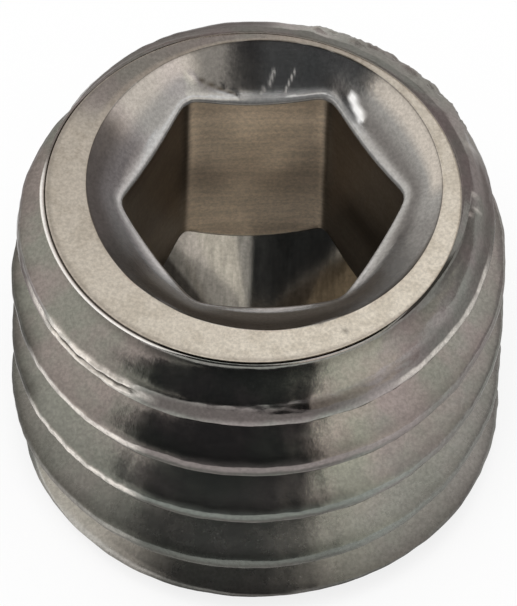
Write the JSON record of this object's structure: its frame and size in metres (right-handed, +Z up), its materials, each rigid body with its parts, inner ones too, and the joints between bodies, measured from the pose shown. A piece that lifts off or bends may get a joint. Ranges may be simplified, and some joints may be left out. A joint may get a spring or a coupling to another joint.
{
  "type": "grub set screw",
  "caption": "Headless set screw with a right-hand thread, a hexagon socket and a flat chamfered point.",
  "frame": {"origin": "centre of the flat point face, on the thread's axis", "axes": "+Z up the thread's axis from the point to the socket end; +X and -Y are the side seen with the socket's corners left and right"},
  "size_m": [0.006, 0.006, 0.0051],
  "materials": {
    "steel": "bare machined and rolled steel, lightly stained, with a turned rim"
  },
  "bodies": {
    "root": {"set_screw": "steel"}
  },
  "joints": []
}
